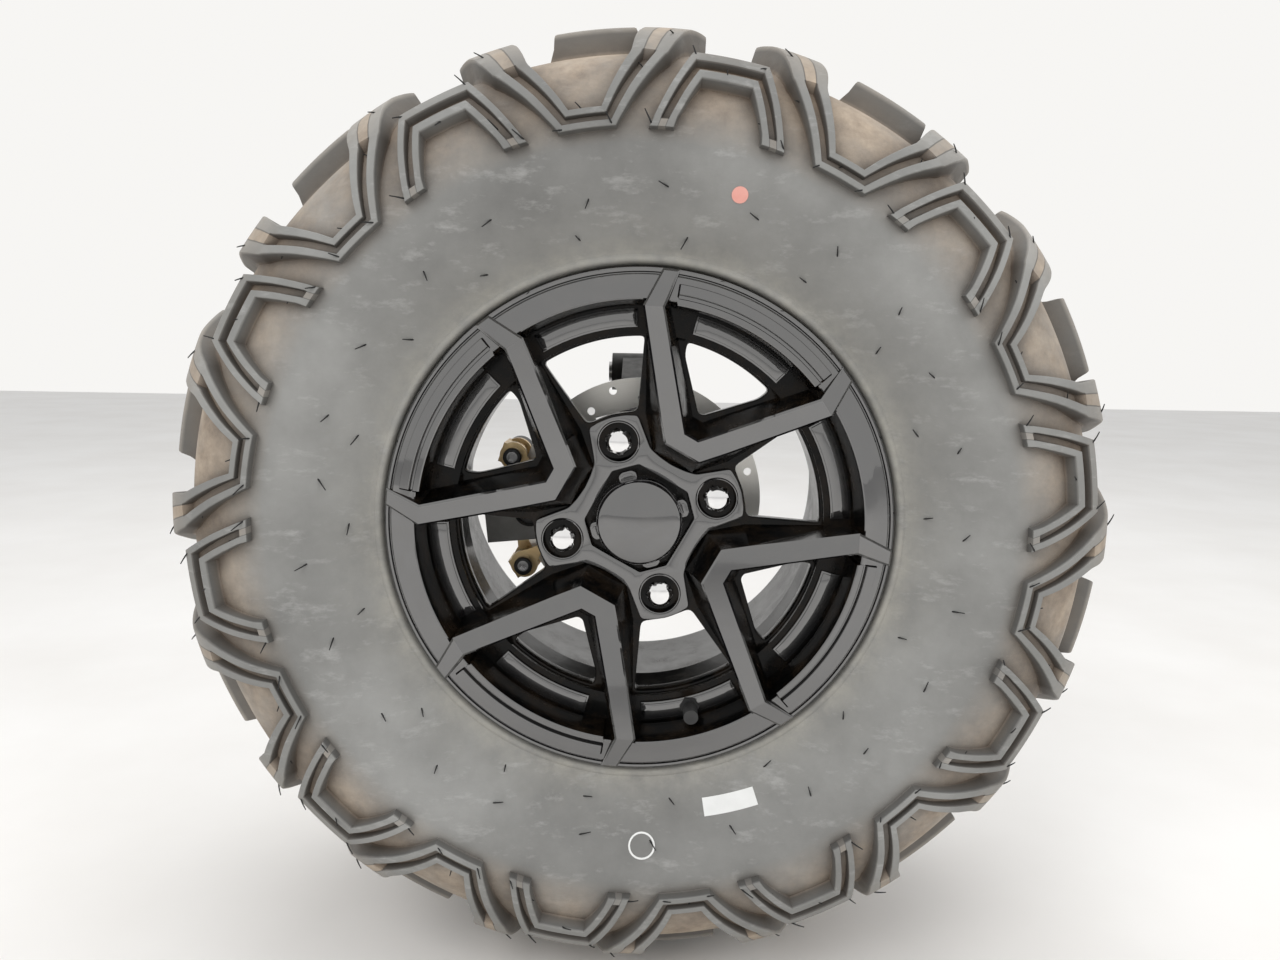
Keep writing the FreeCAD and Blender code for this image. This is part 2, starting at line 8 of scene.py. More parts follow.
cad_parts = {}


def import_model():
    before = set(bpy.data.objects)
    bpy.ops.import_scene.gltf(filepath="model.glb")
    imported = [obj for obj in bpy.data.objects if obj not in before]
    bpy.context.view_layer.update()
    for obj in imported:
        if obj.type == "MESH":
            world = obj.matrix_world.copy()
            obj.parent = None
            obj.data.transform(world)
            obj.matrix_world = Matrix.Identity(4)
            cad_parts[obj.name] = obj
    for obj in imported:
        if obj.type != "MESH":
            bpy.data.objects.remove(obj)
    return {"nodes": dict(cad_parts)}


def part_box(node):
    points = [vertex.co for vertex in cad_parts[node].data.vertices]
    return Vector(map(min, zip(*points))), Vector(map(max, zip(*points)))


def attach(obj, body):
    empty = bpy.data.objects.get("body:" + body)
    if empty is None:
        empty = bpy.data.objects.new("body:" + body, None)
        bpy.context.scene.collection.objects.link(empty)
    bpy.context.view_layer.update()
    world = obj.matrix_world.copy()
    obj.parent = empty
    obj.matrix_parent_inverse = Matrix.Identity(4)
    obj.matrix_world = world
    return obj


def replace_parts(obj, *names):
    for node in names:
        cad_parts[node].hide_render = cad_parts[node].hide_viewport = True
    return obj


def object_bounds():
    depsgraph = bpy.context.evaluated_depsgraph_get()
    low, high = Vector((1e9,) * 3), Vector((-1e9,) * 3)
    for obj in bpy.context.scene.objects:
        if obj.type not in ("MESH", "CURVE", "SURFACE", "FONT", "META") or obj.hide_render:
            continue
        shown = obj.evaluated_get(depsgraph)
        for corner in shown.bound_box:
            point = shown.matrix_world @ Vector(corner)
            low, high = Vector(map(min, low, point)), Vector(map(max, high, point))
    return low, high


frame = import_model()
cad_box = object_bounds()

random.seed(7)

# Bodies that the pieces ride on
WHEEL = "wheel"
KNUCKLE = "knuckle"
# The wheel's centre and the floor, in metres
AXLE_Y = -0.165
AXLE_Z = 0.098
FLOOR_Z = cad_box[0][2]
MM = 0.001
# Tread pitches round the tyre, and the angles of the first V lug and the first spoke
PITCHES = 10
PITCH_PHASE = 26.0
SPOKE_PHASE = 60.8
SPOKES = 4


# Shapes are in millimetres about the wheel's centre: x forward, y inboard along the axle, z up

def place(x, y, z):
    """A point of the frame, in metres."""
    return Vector((x * MM, y * MM + AXLE_Y, z * MM + AXLE_Z))


def polar(r, degrees):
    a = math.radians(degrees)
    return r * math.cos(a), r * math.sin(a)


def at(r, degrees, y):
    """A point of the frame, from its radius, its angle and its distance along the axle."""
    x, z = polar(r, degrees)
    return place(x, y, z)


def spoke_angle(k):
    return SPOKE_PHASE + k * 90.0


def nut_angle(k):
    """Angle of a lug nut, half way between two spokes."""
    return SPOKE_PHASE + 45 + k * 90.0


def new_object(name, verts, faces, body, slot, material):
    """A smooth mesh that rides on a body and takes its finish from the material; the slot is not used."""
    mesh = bpy.data.meshes.new(name)
    mesh.from_pydata(verts, [], faces)
    mesh.validate()
    obj = bpy.data.objects.new(name, mesh)
    bpy.context.scene.collection.objects.link(obj)
    mesh.polygons.foreach_set("use_smooth", [True] * len(mesh.polygons))
    mesh.materials.append(material)
    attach(obj, body)
    return obj


# Materials

def tree(name):
    """A new material with one Principled shader."""
    material = bpy.data.materials.new(name)
    material.use_nodes = True
    nodes = material.node_tree.nodes
    nodes.clear()
    shader = nodes.new("ShaderNodeBsdfPrincipled")
    out = nodes.new("ShaderNodeOutputMaterial")
    material.node_tree.links.new(shader.outputs["BSDF"], out.inputs["Surface"])
    return material, nodes, material.node_tree.links, shader


def coords(nodes, links, scale=(1, 1, 1)):
    where = nodes.new("ShaderNodeTexCoord")
    shift = nodes.new("ShaderNodeMapping")
    shift.inputs["Scale"].default_value = scale
    links.new(where.outputs["Object"], shift.inputs["Vector"])
    return shift.outputs["Vector"]


def noise(nodes, links, vector, scale, detail=4.0, rough=0.55):
    node = nodes.new("ShaderNodeTexNoise")
    node.inputs["Scale"].default_value = scale
    node.inputs["Detail"].default_value = detail
    node.inputs["Roughness"].default_value = rough
    links.new(vector, node.inputs["Vector"])
    return node.outputs["Fac"]


def ramp(nodes, links, value, stops):
    node = nodes.new("ShaderNodeValToRGB")
    bar = node.color_ramp
    while len(bar.elements) < len(stops):
        bar.elements.new(0.5)
    for element, (position, colour) in zip(bar.elements, stops):
        element.position = position
        element.color = (*colour, 1.0)
    links.new(value, node.inputs["Fac"])
    return node.outputs["Color"]


def grey(v):
    return (v, v, v)


def feed(links, socket, value):
    """Links a node's output to a socket, or sets the socket to a colour or a number."""
    if isinstance(value, bpy.types.NodeSocket):
        links.new(value, socket)
    elif isinstance(value, tuple):
        socket.default_value = (*value, 1.0)
    else:
        socket.default_value = value


def mix(nodes, links, factor, a, b):
    node = nodes.new("ShaderNodeMix")
    node.data_type = "RGBA"
    feed(links, node.inputs[0], factor)
    feed(links, node.inputs[6], a)
    feed(links, node.inputs[7], b)
    return node.outputs[2]


def bump(nodes, links, shader, height, strength, distance, normal=None):
    node = nodes.new("ShaderNodeBump")
    node.inputs["Strength"].default_value = strength
    node.inputs["Distance"].default_value = distance
    links.new(height, node.inputs["Height"])
    if normal is not None:
        links.new(normal, node.inputs["Normal"])
    links.new(node.outputs["Normal"], shader.inputs["Normal"])
    return node.outputs["Normal"]


# Noise scales of a finish's two tones and of its uneven gloss
PATCH_SCALE = 60.0
GLOSS_SCALE = 138.0


def simple(name, colours, roughness, metallic=0.0, bumpiness=0.15, fine=900.0):
    """A material with two tones in cloudy patches, uneven gloss and a fine grain."""
    material, nodes, links, shader = tree(name)
    vector = coords(nodes, links)
    patches = ramp(nodes, links, noise(nodes, links, vector, PATCH_SCALE),
                   [(0.3, colours[0]), (0.7, colours[1])])
    links.new(patches, shader.inputs["Base Color"])
    uneven = ramp(nodes, links, noise(nodes, links, vector, GLOSS_SCALE),
                  [(0.3, grey(roughness[0])), (0.75, grey(roughness[1]))])
    links.new(uneven, shader.inputs["Roughness"])
    shader.inputs["Metallic"].default_value = metallic
    bump(nodes, links, shader, noise(nodes, links, vector, fine, 3.0), bumpiness, 0.0002)
    return material


def times(nodes, links, a, b):
    node = nodes.new("ShaderNodeMath")
    node.operation = "MULTIPLY"
    feed(links, node.inputs[0], a)
    feed(links, node.inputs[1], b)
    return node.outputs[0]


def axle_radius(nodes, links):
    """Distance of the shaded point from the wheel's axle, in metres."""
    where = nodes.new("ShaderNodeTexCoord")
    flat = nodes.new("ShaderNodeMapping")
    flat.inputs["Location"].default_value = (0.0, 0.0, -AXLE_Z)
    flat.inputs["Scale"].default_value = (1.0, 0.0, 1.0)
    links.new(where.outputs["Object"], flat.inputs["Vector"])
    size = nodes.new("ShaderNodeVectorMath")
    size.operation = "LENGTH"
    links.new(flat.outputs["Vector"], size.inputs[0])
    return size.outputs["Value"]


def rubber():
    """Grey rubber with cloudy scuffs, a pale dusty ring beside the rim and brown dust between the lugs, with
    painted shade in its hollows and on the lugs' walls.
    """
    material, nodes, links, shader = tree("tyre_rubber")
    vector = coords(nodes, links)
    radius = axle_radius(nodes, links)
    mark = nodes.new("ShaderNodeAttribute")
    mark.attribute_name = "raised"
    raised = mark.outputs["Fac"]
    cloud = noise(nodes, links, vector, 7.0, 8.0, 0.62)
    base = ramp(nodes, links, cloud, [(0.32, (0.165, 0.163, 0.155)), (0.5, (0.225, 0.223, 0.212)),
                                      (0.68, (0.30, 0.298, 0.285))])
    scuff = noise(nodes, links, coords(nodes, links, (1.0, 1.0, 2.6)), 38.0, 9.0, 0.72)
    scuffed = ramp(nodes, links, scuff, [(0.55, grey(0.0)), (0.72, grey(0.55))])
    base = mix(nodes, links, scuffed, base, (0.42, 0.415, 0.40))
    near_rim = ramp(nodes, links, radius, [(0.166, grey(0.75)), (0.176, grey(0.6)), (0.187, grey(0.15)),
                                           (0.21, grey(0.0))])
    speck = ramp(nodes, links, noise(nodes, links, vector, 60.0, 6.0, 0.7),
                 [(0.35, grey(0.25)), (0.65, grey(1.0))])
    pale = times(nodes, links, near_rim, speck)
    base = mix(nodes, links, pale, base, (0.40, 0.38, 0.33))
    low = ramp(nodes, links, raised, [(0.05, grey(1.0)), (0.75, grey(0.0))])
    outer = ramp(nodes, links, radius, [(0.238, grey(0.0)), (0.262, grey(0.7)), (0.29, grey(1.0))])
    patch = ramp(nodes, links, noise(nodes, links, vector, 16.0, 7.0, 0.65),
                 [(0.28, grey(0.25)), (0.6, grey(1.0))])
    dirty = times(nodes, links, times(nodes, links, low, outer), patch)
    dirt = ramp(nodes, links, noise(nodes, links, vector, 55.0, 8.0, 0.7),
                [(0.3, (0.20, 0.145, 0.10)), (0.7, (0.50, 0.395, 0.29))])
    base = mix(nodes, links, times(nodes, links, dirty, 0.85), base, dirt)
    crown = ramp(nodes, links, radius, [(0.285, grey(0.0)), (0.315, grey(0.5))])
    worn = times(nodes, links, crown, patch)
    base = mix(nodes, links, worn, base, (0.38, 0.325, 0.265))
    # Painted shade: hollows and creases, found by an ambient occlusion node, are darkened to near black
    hollow = nodes.new("ShaderNodeAmbientOcclusion")
    hollow.samples = 6
    hollow.only_local = True
    hollow.inputs["Distance"].default_value = 0.016
    hollow_shade = ramp(nodes, links, hollow.outputs["AO"], [(0.35, grey(0.85)), (0.9, grey(0.0))])
    hollow_shade_colour = mix(nodes, links, outer, (0.035, 0.034, 0.032), (0.075, 0.052, 0.036))
    base = mix(nodes, links, hollow_shade, base, hollow_shade_colour)
    # Painted shade: the lugs' side walls, between their foot and their top, are darkened to near black
    walls = ramp(nodes, links, raised, [(0.03, grey(0.0)), (0.2, grey(0.6)), (0.8, grey(0.6)),
                                        (0.93, grey(0.0))])
    base = mix(nodes, links, walls, base, (0.045, 0.043, 0.04))
    links.new(base, shader.inputs["Base Color"])
    gloss = ramp(nodes, links, scuff, [(0.3, grey(0.5)), (0.7, grey(0.78))])
    links.new(gloss, shader.inputs["Roughness"])
    shader.inputs["Specular IOR Level"].default_value = 0.45
    grain = noise(nodes, links, vector, 520.0, 4.0, 0.6)
    first = bump(nodes, links, shader, scuff, 0.25, 0.0008)
    bump(nodes, links, shader, grain, 0.22, 0.0003, first)
    return material


def gloss_black(name, tones, roughness, ior, coat, coat_ior):
    """Deep black paint under a hard clear coat, with a faint ripple and settled dust."""
    material, nodes, links, shader = tree(name)
    vector = coords(nodes, links)
    dust = noise(nodes, links, vector, 45.0, 8.0, 0.7)
    links.new(ramp(nodes, links, dust, [(0.45, tones[0]), (0.8, tones[1])]), shader.inputs["Base Color"])
    uneven = ramp(nodes, links, dust, [(0.4, grey(roughness[0])), (0.8, grey(roughness[1]))])
    links.new(uneven, shader.inputs["Roughness"])
    shader.inputs["IOR"].default_value = ior
    shader.inputs["Coat Weight"].default_value = coat
    shader.inputs["Coat IOR"].default_value = coat_ior
    shader.inputs["Coat Roughness"].default_value = 0.02
    bump(nodes, links, shader, noise(nodes, links, vector, 90.0, 2.0), 0.03, 0.0004)
    return material


def brushed():
    """Bright ground steel with fine rings about the axle."""
    material, nodes, links, shader = tree("brushed_disc")
    rings = nodes.new("ShaderNodeCombineXYZ")
    links.new(axle_radius(nodes, links), rings.inputs[0])
    lines = noise(nodes, links, rings.outputs[0], 1600.0, 3.0, 0.7)
    patches = noise(nodes, links, coords(nodes, links), 14.0, 3.0)
    ringed = ramp(nodes, links, lines, [(0.3, (0.80, 0.78, 0.73)), (0.7, (0.96, 0.94, 0.89))])
    cloudy = ramp(nodes, links, patches, [(0.3, (0.84, 0.82, 0.77)), (0.7, (0.97, 0.95, 0.90))])
    links.new(mix(nodes, links, 0.5, ringed, cloudy), shader.inputs["Base Color"])
    links.new(ramp(nodes, links, lines, [(0.3, grey(0.26)), (0.7, grey(0.40))]), shader.inputs["Roughness"])
    shader.inputs["Metallic"].default_value = 0.6
    bump(nodes, links, shader, lines, 0.06, 0.0001)
    return material


MATERIALS = {
    "rubber": rubber(),
    "gloss": gloss_black("gloss_black", [(0.006, 0.006, 0.007), (0.020, 0.018, 0.016)], (0.03, 0.12),
                         2.05, 1.0, 1.75),
    # A darker, duller copy of the black paint for walls and recessed faces: painted shade, with painted
    # weaker reflection
    "wall": gloss_black("gloss_black_painted_shade", [(0.002, 0.002, 0.002), (0.026, 0.017, 0.010)], (0.16, 0.36),
                        1.25, 0.1, 1.3),
    "whisker": simple("whisker_rubber", [(0.008, 0.008, 0.008), (0.014, 0.014, 0.014)], (0.5, 0.7)),
    "sticker": simple("blank_sticker", [(0.72, 0.72, 0.70), (0.8, 0.8, 0.78)], (0.3, 0.45)),
    "paint_dot": simple("paint_dot", [(0.72, 0.30, 0.25), (0.78, 0.40, 0.34)], (0.5, 0.7), fine=300),
    "chrome": simple("bright_chrome", [(0.8, 0.8, 0.81), (0.88, 0.88, 0.88)], (0.04, 0.1), 1.0),
    "steel": simple("machined_steel", [(0.4, 0.4, 0.41), (0.5, 0.5, 0.5)], (0.25, 0.4), 1.0),
    "disc": brushed(),
    "iron": simple("black_casting", [(0.03, 0.03, 0.03), (0.055, 0.053, 0.05)], (0.4, 0.6), bumpiness=0.5,
                   fine=300),
    "gold": simple("gold_zinc", [(0.88, 0.62, 0.30), (0.95, 0.73, 0.42)], (0.3, 0.45), 0.55),
    "dark": simple("dark_grey_casting", [(0.05, 0.05, 0.048), (0.09, 0.085, 0.08)], (0.4, 0.6), bumpiness=0.5,
                   fine=300),
    "caliper": simple("grey_casting", [(0.20, 0.195, 0.18), (0.28, 0.27, 0.25)], (0.4, 0.6), bumpiness=0.4,
                      fine=300),
    "bolt": simple("black_steel", [(0.03, 0.03, 0.032), (0.06, 0.06, 0.06)], (0.25, 0.4), 0.6),
    "boot": simple("black_rubber", [(0.018, 0.018, 0.018), (0.03, 0.03, 0.03)], (0.45, 0.6)),
}

# Body, slot and material of the rim's and the cap's pieces
PAINT = (WHEEL, "gloss_black_paint", MATERIALS["gloss"])
PLASTIC = (WHEEL, "gloss_black_plastic", MATERIALS["gloss"])

# The material of each CAD node
NODE_FINISH = {
    "alloy_rim": "gloss", "centre_cap": "gloss", "valve_stem": "boot", "wheel_hub": "iron",
    "axle_nut": "steel", "brake_disc": "disc", "disc_bolts": "steel", "joint_housing": "steel",
    "cv_boot": "boot", "boot_clamps": "steel", "half_shaft": "steel", "knuckle": "iron",
    "wheel_bearing": "steel", "lower_arm_sleeve": "steel", "upper_arm_sleeve": "steel",
    "caliper_bracket": "gold", "bracket_bolts": "steel", "caliper_body": "caliper",
    "caliper_piston": "steel", "brake_pad_outer": "dark", "brake_pad_inner": "dark",
}
for k in range(1, 5):
    NODE_FINISH[f"lug_nut_{k}"] = "chrome"
    NODE_FINISH[f"wheel_stud_{k}"] = "steel"


def finish_nodes():
    for name, key in NODE_FINISH.items():
        obj = frame["nodes"][name]
        obj.data.materials.clear()
        obj.data.materials.append(MATERIALS[key])


# Stage, light and camera

# Name, place, size and power of each soft lamp
LAMPS = [("key", (-1.4, -2.3, 2.2), 1.8, 40), ("fill", (2.0, -1.7, 1.2), 1.6, 16),
         ("top", (0.1, 0.2, 2.6), 2.4, 34)]


def lamp(name, where, size, power):
    """A soft lamp aimed at the wheel's centre."""
    data = bpy.data.lights.new(name, "AREA")
    data.energy = power
    data.size = size
    obj = bpy.data.objects.new(name, data)
    obj.visible_glossy = False
    bpy.context.scene.collection.objects.link(obj)
    obj.location = where
    obj.rotation_euler = (place(0.0, 0.0, 0.0) - Vector(where)).to_track_quat("-Z", "Y").to_euler()


def stage():
    material, nodes, links, shader = tree("studio_floor")
    vector = coords(nodes, links)
    tone = noise(nodes, links, vector, 3.0, 5.0)
    links.new(ramp(nodes, links, tone, [(0.3, (0.80, 0.775, 0.74)), (0.7, (0.86, 0.84, 0.81))]),
              shader.inputs["Base Color"])
    shader.inputs["Roughness"].default_value = 0.55
    bpy.ops.mesh.primitive_plane_add(size=12, location=(0, 0, FLOOR_Z))
    floor = bpy.context.object
    floor.name = "floor"
    floor.data.materials.append(material)
    world()
    for row in LAMPS:
        lamp(*row)


def world():
    """Plain light from all round, and a pale backdrop for the camera and in reflections."""
    sky = bpy.data.worlds.new("studio")
    bpy.context.scene.world = sky
    sky.use_nodes = True
    nodes, links = sky.node_tree.nodes, sky.node_tree.links
    nodes.clear()
    path = nodes.new("ShaderNodeLightPath")
    seen = path.outputs["Is Camera Ray"]
    for name in ("Is Glossy Ray", "Is Transmission Ray"):
        total = nodes.new("ShaderNodeMath")
        total.operation = "MAXIMUM"
        links.new(seen, total.inputs[0])
        links.new(path.outputs[name], total.inputs[1])
        seen = total.outputs[0]
    light, backdrop = nodes.new("ShaderNodeBackground"), nodes.new("ShaderNodeBackground")
    light.inputs["Color"].default_value = (0.95, 0.97, 1.0, 1.0)
    light.inputs["Strength"].default_value = 0.7
    backdrop.inputs["Color"].default_value = (0.93, 0.92, 0.90, 1.0)
    backdrop.inputs["Strength"].default_value = 1.0
    blend = nodes.new("ShaderNodeMixShader")
    links.new(seen, blend.inputs["Fac"])
    links.new(light.outputs[0], blend.inputs[1])
    links.new(backdrop.outputs[0], blend.inputs[2])
    out = nodes.new("ShaderNodeOutputWorld")
    links.new(blend.outputs[0], out.inputs["Surface"])


# The camera as fitted to the photograph: lens in millimetres, place in metres, turns in degrees
LENS = 26.72
CAMERA_PLACE = (0.002, AXLE_Y - 0.723, 0.221)
YAW = -0.18
PITCH = -8.5
ROLL = 0.95


def camera():
    data = bpy.data.cameras.new("camera")
    data.sensor_width = 36.0
    data.sensor_fit = "HORIZONTAL"
    data.lens = LENS
    data.clip_start = 0.01
    obj = bpy.data.objects.new("camera", data)
    bpy.context.scene.collection.objects.link(obj)
    turn = Matrix.Rotation(math.radians(-YAW), 4, "Z")
    turn = turn @ Matrix.Rotation(math.pi / 2 + math.radians(PITCH), 4, "X")
    turn = turn @ Matrix.Rotation(math.radians(ROLL), 4, "Z")
    obj.matrix_world = Matrix.Translation(CAMERA_PLACE) @ turn
    bpy.context.scene.camera = obj
    bpy.context.scene.view_settings.view_transform = "Standard"


stage()
camera()

# Tyre

# Outside of one half of the tyre, from the rim to the crown: distance from mid-plane, radius and lug height
TYRE_LINE = [(101.2, 168.6, 0), (104.2, 169.6, 0), (106.4, 171.6, 0), (107.0, 174.0, 0), (106.9, 176.2, 0),
             (110.6, 181.5, 0), (116.8, 190, 2), (123.0, 201, 4), (128.6, 214, 5.6), (131.9, 227, 6.3),
             (133.0, 240, 6.5), (131.8, 252, 7.0), (128.6, 264, 7.8), (122.6, 276, 9.0), (115.4, 286, 10.5),
             (107.0, 293.6, 12.0), (95.0, 299, 13.8), (75.0, 303.4, 17.0), (45.0, 307, 20.2),
             (20.0, 308.6, 20.8), (0.0, 309, 21.0)]


def catmull(points, steps):
    """A smooth line through the points."""
    line = []
    count = len(points)
    for i in range(count - 1):
        p = [points[max(i - 1, 0)], points[i], points[i + 1], points[min(i + 2, count - 1)]]
        for k in range(steps):
            t = k / steps
            line.append(tuple(0.5 * (2 * b + (c - a) * t + (2 * a - 5 * b + 4 * c - d) * t * t
                                     + (3 * b - a - 3 * c + d) * t ** 3) for a, b, c, d in zip(*p)))
    line.append(tuple(points[-1]))
    return line


# The line, and the arc length at each of its points
LINE = catmull(TYRE_LINE, 8)
RUN = [0.0]
for one, two in zip(LINE, LINE[1:]):
    RUN.append(RUN[-1] + math.hypot(two[0] - one[0], two[1] - one[1]))


def along(v):
    """Distance, radius and lug height at arc length v, with the outward normal."""
    v = min(max(v, 0.0), RUN[-1] - 1e-6)
    low, high = 0, len(RUN) - 1
    while high - low > 1:
        mid = (low + high) // 2
        low, high = (mid, high) if RUN[mid] <= v else (low, mid)
    t = (v - RUN[low]) / (RUN[high] - RUN[low])
    y, r, h = (a + (b - a) * t for a, b in zip(LINE[low], LINE[high]))
    dy, dr = LINE[high][0] - LINE[low][0], LINE[high][1] - LINE[low][1]
    length = math.hypot(dy, dr)
    return y, r, h, dr / length, -dy / length


def arc_at_radius(radius):
    """Arc length on the outside where the tyre first reaches a radius past its foot."""
    for (y, r, h), v in zip(LINE, RUN):
        if r >= radius:
            return v
    return RUN[-1]


def arc_at_distance(distance):
    """Arc length of the last point before the crown that is a distance from the mid-plane."""
    for (y, r, h), v in zip(reversed(LINE), reversed(RUN)):
        if y >= distance:
            return v
    return RUN[-1]


# Least height, in millimetres, that a lift is taken as a share of
LEAST_LUG = 3.0


def skin(degrees, v, k, side):
    """A point k lug heights above the tyre's body, on one side (-1 outboard, 1 inboard)."""
    y, r, h, ny, nr = along(v)
    lift = k * max(h, LEAST_LUG)
    return at(r + nr * lift, degrees, side * (y + ny * lift))


# Across a ridge: share of the way from its outer to its inner edge, and height as a share of the lug's
RIDGE = [(-0.03, -0.35), (0.0, 0.0), (0.045, 0.9), (0.055, 0.97), (0.08, 1.0), (0.30, 1.0), (0.322, 0.97),
         (0.332, 0.9), (0.375, "floor"), (0.625, "floor"), (0.668, 0.9), (0.678, 0.97), (0.70, 1.0),
         (0.92, 1.0), (0.945, 0.97), (0.955, 0.9), (1.0, 0.0), (1.03, -0.35)]
# Height of the channel's floor, and the share of the width where its sides begin
CHANNEL_FLOOR = 0.45
CHANNEL_SIDE = 0.32
# Length of a ridge's steps, and the radius at which its turns are measured
RIDGE_STEP = 4.5
SHOULDER_R = 270.0


def path_points(path):
    """Divides a path of (outer degrees, outer v, inner degrees, inner v, channel) corners."""
    rows = []
    for a, b in zip(path, path[1:]):
        reach = math.hypot(math.radians(b[0] - a[0]) * SHOULDER_R, b[1] - a[1])
        count = max(1, int(reach / RIDGE_STEP))
        rows += [tuple(p + (q - p) * k / count for p, q in zip(a, b)) for k in range(count)]
    rows.append(path[-1])
    return rows


def ridge(path, centre, side, verts, faces, marks):
    """One raised ridge swept along its path, with closed ends."""
    first = len(verts)
    rows = path_points(path)
    width = len(RIDGE)
    table = [(rows[0], True)] + [(row, False) for row in rows] + [(rows[-1], True)]
    for (outer, outer_v, inner, inner_v, channel), sunk in table:
        for f, k in RIDGE:
            if sunk:
                level = RIDGE[0][1]
            elif k == "floor":
                level = 1.0 + (CHANNEL_FLOOR - 1.0) * channel
            elif CHANNEL_SIDE <= f <= 1.0 - CHANNEL_SIDE:
                level = 1.0 + (k - 1.0) * channel
            else:
                level = k
            degrees = centre + outer + (inner - outer) * f
            verts.append(skin(degrees, outer_v + (inner_v - outer_v) * f, level, side))
            marks.append(0.0 if k == "floor" else max(level, 0.0))
    for i in range(len(table) - 1):
        for j in range(width):
            a, b = first + i * width + j, first + i * width + (j + 1) % width
            quad = (a, b, b + width, a + width)
            faces.append(quad if side < 0 else quad[::-1])


# A tread block's turn from the middle of the V, in degrees, and the steps along each of its edges
BLOCK_SHIFT = 2.0
BLOCK_STEPS = 6
# Its outer and inner end: half-width, and distance from the mid-plane
BLOCK_ENDS = ((25.0, 70), (19.0, 8))
# Up a tread block's side: how far it spreads in millimetres, and height
BLOCK_WALL = [(7.0, -0.2), (6.0, 0.0), (2.2, 0.5), (0.7, 0.88), (0.0, 0.97), (-1.2, 1.0)]


def block(centre, side, verts, faces, marks):
    """A trapezoid block in the middle of the tread, in the mouth of a V."""
    (wide, outer), (narrow, inner) = BLOCK_ENDS
    start, stop = arc_at_distance(outer), arc_at_distance(inner)
    first = len(verts)
    per = 4 * BLOCK_STEPS
    for spread, level in BLOCK_WALL:
        corners = [(wide + spread, start - spread), (narrow + spread, stop + spread),
                   (-narrow - spread, stop + spread), (-wide - spread, start - spread)]
        for (u0, v0), (u1, v1) in zip(corners, corners[1:] + corners[:1]):
            for k in range(BLOCK_STEPS):
                u, v = u0 + (u1 - u0) * k / BLOCK_STEPS, v0 + (v1 - v0) * k / BLOCK_STEPS
                verts.append(skin(centre + math.degrees(u / along(v)[1]), v, level, side))
                marks.append(max(level, 0.0))
    quads = []
    rings = len(BLOCK_WALL)
    for i in range(rings - 1):
        for j in range(per):
            a, b = first + i * per + j, first + i * per + (j + 1) % per
            quads.append((a, b, b + per, a + per))
    top = first + (rings - 1) * per
    for j in range(BLOCK_STEPS):
        left = 3 * BLOCK_STEPS - j
        quads.append((top + j, top + j + 1, top + left - 1, top + left))
    quads.append(tuple(first + j for j in reversed(range(per))))
    faces += [q[::-1] if side < 0 else q for q in quads]


# The tyre's inside, from the bead to the crown: distance from mid-plane and radius
INSIDE = [(101.0, 153.0), (84.0, 153.0), (110.0, 200.0), (121.0, 240.0), (96.0, 286.0), (0.0, 297.0)]


def tyre():
    """The turned body, with a V and an A ridge and a block in each pitch on both sides."""
    verts, faces, marks = [], [], []
    ring = 360
    crown = RUN[-1]
    steps = RUN[::3]
    if steps[-1] < crown:
        steps.append(crown)
    profile = [(along(v)[0], along(v)[1]) for v in steps]
    outside = [(-y, r) for y, r in profile] + [(y, r) for y, r in reversed(profile[:-1])]
    loop = outside + INSIDE + [(-y, r) for y, r in reversed(INSIDE[:-1])]
    for k in range(ring):
        for y, r in loop:
            verts.append(at(r, k * 360.0 / ring, y))
            marks.append(0.0)
    n = len(loop)
    for k in range(ring):
        a, b = k * n, ((k + 1) % ring) * n
        for j in range(n):
            faces.append((a + j, a + (j + 1) % n, b + (j + 1) % n, b + j))
    tread_end = arc_at_distance(40)
    foot = arc_at_radius(245)
    v_right = [(4.0, foot, 2.1, arc_at_radius(258), 1.0),
               (10.4, arc_at_radius(284), 5.8, arc_at_radius(285.5), 1.0),
               (10.7, arc_at_radius(286), 6.0, arc_at_radius(287.5), 0.0),
               (12.0, arc_at_distance(104), 6.4, arc_at_distance(104), 0.0),
               (15.3, tread_end, 8.6, tread_end, 0.0)]
    v_path = [(-a, b, -c, d, e) for a, b, c, d, e in reversed(v_right)] + v_right
    a_right = [(4.6, arc_at_radius(288), 3.1, arc_at_radius(273), 1.0), (9.0, foot + 6, 5.6, foot + 6, 1.0),
               (9.15, foot + 4, 5.75, foot + 4, 0.0), (9.6, foot, 6.0, foot, 0.0)]
    a_path = [(-a, b, -c, d, e) for a, b, c, d, e in reversed(a_right)] + a_right
    half_pitch = 180.0 / PITCHES
    for k in range(PITCHES):
        for side, shift in ((-1, 0.0), (1, half_pitch)):
            centre = PITCH_PHASE + k * 2 * half_pitch + shift
            ridge(v_path, centre, side, verts, faces, marks)
            ridge(a_path, centre + half_pitch, side, verts, faces, marks)
            block(centre - BLOCK_SHIFT, side, verts, faces, marks)
    obj = new_object("tyre_dressed", verts, faces, WHEEL, "tyre", MATERIALS["rubber"])
    layer = obj.data.attributes.new("raised", "FLOAT", "POINT")
    layer.data.foreach_set("value", marks)
    obj.data.set_sharp_from_angle(angle=math.radians(28))
    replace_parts(obj, "tyre")


# Tools for the rim's shapes

def turned(points, degrees):
    """Points turned about the axle."""
    c, s = math.cos(math.radians(degrees)), math.sin(math.radians(degrees))
    return [(x * c - z * s, x * s + z * c) for x, z in points]


def arc(r, start, stop):
    """Points on a circle about the axle, about three degrees apart."""
    count = max(2, int(abs(stop - start) / 3.0) + 1)
    return [polar(r, start + (stop - start) * k / (count - 1)) for k in range(count)]


def circle(r, x=0.0, z=0.0, count=48):
    """A closed outline of a circle about any middle."""
    return [(x + r * math.cos(2 * math.pi * k / count), z + r * math.sin(2 * math.pi * k / count))
            for k in range(count)]


